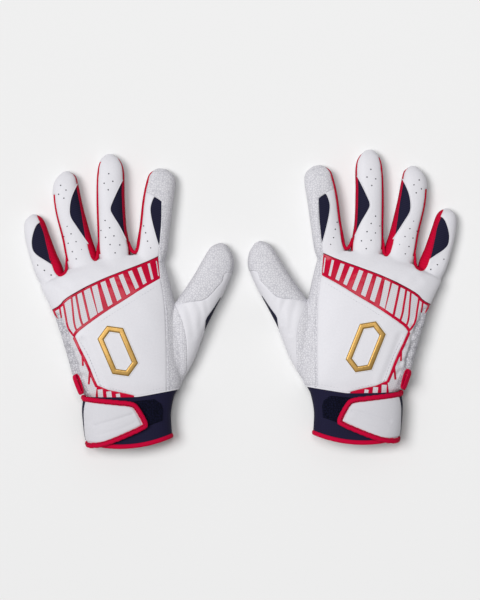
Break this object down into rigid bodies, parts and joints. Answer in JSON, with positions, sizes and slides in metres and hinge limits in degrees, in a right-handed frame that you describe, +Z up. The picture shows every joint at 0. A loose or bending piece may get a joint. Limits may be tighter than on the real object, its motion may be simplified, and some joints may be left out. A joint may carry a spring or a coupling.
{
  "type": "batting gloves",
  "caption": "Pair of leather batting gloves with striped mesh knuckle panels, bending fingers and hook-and-loop wrist straps that wrap over elastic cuffs.",
  "frame": {"origin": "middle of the pair in plan, on the surface that the palms lie on", "axes": "+X across the pair from the left glove to the right one, +Y towards the finger tips, +Z up from the palms to the backs"},
  "size_m": [0.3547, 0.2445, 0.0315],
  "materials": {
    "leather_white": "smooth sheepskin, satin",
    "leather_pebbled": "pebbled, matt",
    "mesh_striped": "grey-white mesh under glossy red film bars",
    "knit_red": "stretch knit",
    "knit_navy": "stretch knit",
    "elastic_navy": "elastic knit",
    "binding_red": "woven binding tape",
    "hook_and_loop": "hook-and-loop pile"
  },
  "bodies": {
    "left_hand": {"left_palm": "leather_pebbled", "left_back_panel": "leather_white", "left_stripe_panel": "mesh_striped", "left_side_strip": "leather_pebbled", "left_knuckle_panel": "leather_white", "left_thumb_patch": "leather_pebbled", "left_thumb_base": "leather_white", "left_thumb_insert": "knit_navy", "left_web_ring_little": "knit_red", "left_web_middle_ring": "knit_red", "left_web_index_middle": "knit_red", "left_little_gusset": "knit_navy", "left_ring_gusset": "knit_navy", "left_middle_gusset": "knit_navy", "left_index_gusset": "knit_navy", "left_cuff": "elastic_navy", "left_cuff_binding": "binding_red", "left_loop_patch": "hook_and_loop"},
    "right_hand": {"right_palm": "leather_pebbled", "right_back_panel": "leather_white", "right_stripe_panel": "mesh_striped", "right_side_strip": "leather_pebbled", "right_knuckle_panel": "leather_white", "right_thumb_patch": "leather_pebbled", "right_thumb_base": "leather_white", "right_thumb_insert": "knit_navy", "right_web_ring_little": "knit_red", "right_web_middle_ring": "knit_red", "right_web_index_middle": "knit_red", "right_little_gusset": "knit_navy", "right_ring_gusset": "knit_navy", "right_middle_gusset": "knit_navy", "right_index_gusset": "knit_navy", "right_cuff": "elastic_navy", "right_cuff_binding": "binding_red", "right_loop_patch": "hook_and_loop"},
    "left_little_end": {"left_little_tip_back": "leather_white", "left_little_tip_palm": "leather_pebbled"},
    "left_ring_end": {"left_ring_tip_back": "leather_white", "left_ring_tip_palm": "leather_pebbled"},
    "left_middle_end": {"left_middle_tip_back": "leather_white", "left_middle_tip_palm": "leather_pebbled"},
    "left_index_end": {"left_index_cap": "leather_pebbled"},
    "left_thumb_end": {"left_thumb_tip": "leather_pebbled"},
    "left_strap": {"left_strap": "leather_white", "left_strap_binding": "binding_red", "left_hook_patch": "hook_and_loop"},
    "left_tab": {"left_pull_tab": "binding_red"},
    "right_little_end": {"right_little_tip_back": "leather_white", "right_little_tip_palm": "leather_pebbled"},
    "right_ring_end": {"right_ring_tip_back": "leather_white", "right_ring_tip_palm": "leather_pebbled"},
    "right_middle_end": {"right_middle_tip_back": "leather_white", "right_middle_tip_palm": "leather_pebbled"},
    "right_index_end": {"right_index_cap": "leather_pebbled"},
    "right_thumb_end": {"right_thumb_tip": "leather_pebbled"},
    "right_strap": {"right_strap": "leather_white", "right_strap_binding": "binding_red", "right_hook_patch": "hook_and_loop"},
    "right_tab": {"right_pull_tab": "binding_red"}
  },
  "joints": [
    {"name": "right_glove_lift", "type": "slide", "parent": "left_hand", "child": "right_hand", "axis": [0, 0, 1], "range_m": [0, 0.06]},
    {"name": "left_little_curl", "type": "hinge", "parent": "left_hand", "child": "left_little_end", "pos_m": [-0.16264, 0.04474, 0], "axis": [-0.9558, -0.294, 0], "range_deg": [0, 80], "deforming": ["left_little_gusset"]},
    {"name": "left_ring_curl", "type": "hinge", "parent": "left_hand", "child": "left_ring_end", "pos_m": [-0.13689, 0.07157, 0], "axis": [-0.9871, -0.1599, 0], "range_deg": [0, 80], "deforming": ["left_ring_gusset"]},
    {"name": "left_middle_curl", "type": "hinge", "parent": "left_hand", "child": "left_middle_end", "pos_m": [-0.10575, 0.07305, 0], "axis": [-0.9987, -0.0506, 0], "range_deg": [0, 80], "deforming": ["left_middle_gusset"]},
    {"name": "left_index_curl", "type": "hinge", "parent": "left_hand", "child": "left_index_end", "pos_m": [-0.06916, 0.07205, 0], "axis": [-0.9893, 0.1461, 0], "range_deg": [0, 80], "deforming": ["left_index_gusset"]},
    {"name": "left_thumb_curl", "type": "hinge", "parent": "left_hand", "child": "left_thumb_end", "pos_m": [-0.02815, 0.01479, 0], "axis": [-0.9178, 0.3971, 0], "range_deg": [0, 60]},
    {"name": "left_strap_open", "type": "hinge", "parent": "left_hand", "child": "left_strap", "pos_m": [-0.1319, -0.09867, 0.0115], "axis": [0, -1, 0], "range_deg": [0, 130]},
    {"name": "left_tab_lift", "type": "hinge", "parent": "left_hand", "child": "left_tab", "pos_m": [-0.12966, -0.07809, 0.02223], "axis": [0.9511, 0.309, 0], "range_deg": [0, 50]},
    {"name": "right_little_curl", "type": "hinge", "parent": "right_hand", "child": "right_little_end", "pos_m": [0.16257, 0.04948, 0], "axis": [-0.962, 0.2731, 0], "range_deg": [0, 80], "deforming": ["right_little_gusset"]},
    {"name": "right_ring_curl", "type": "hinge", "parent": "right_hand", "child": "right_ring_end", "pos_m": [0.13624, 0.07574, 0], "axis": [-0.9904, 0.1383, 0], "range_deg": [0, 80], "deforming": ["right_ring_gusset"]},
    {"name": "right_middle_curl", "type": "hinge", "parent": "right_hand", "child": "right_middle_end", "pos_m": [0.10507, 0.07654, 0], "axis": [-0.9996, 0.0288, 0], "range_deg": [0, 80], "deforming": ["right_middle_gusset"]},
    {"name": "right_index_curl", "type": "hinge", "parent": "right_hand", "child": "right_index_end", "pos_m": [0.06851, 0.07475, 0], "axis": [-0.9859, -0.1676, 0], "range_deg": [0, 80], "deforming": ["right_index_gusset"]},
    {"name": "right_thumb_curl", "type": "hinge", "parent": "right_hand", "child": "right_thumb_end", "pos_m": [0.02876, 0.01661, 0], "axis": [-0.9089, -0.4171, 0], "range_deg": [0, 60]},
    {"name": "right_strap_open", "type": "hinge", "parent": "right_hand", "child": "right_strap", "pos_m": [0.13497, -0.09456, 0.0115], "axis": [-0.0218, 0.9998, 0], "range_deg": [0, 130]},
    {"name": "right_tab_lift", "type": "hinge", "parent": "right_hand", "child": "right_tab", "pos_m": [0.13227, -0.07404, 0.02223], "axis": [0.9576, -0.2882, 0], "range_deg": [0, 50]}
  ]
}
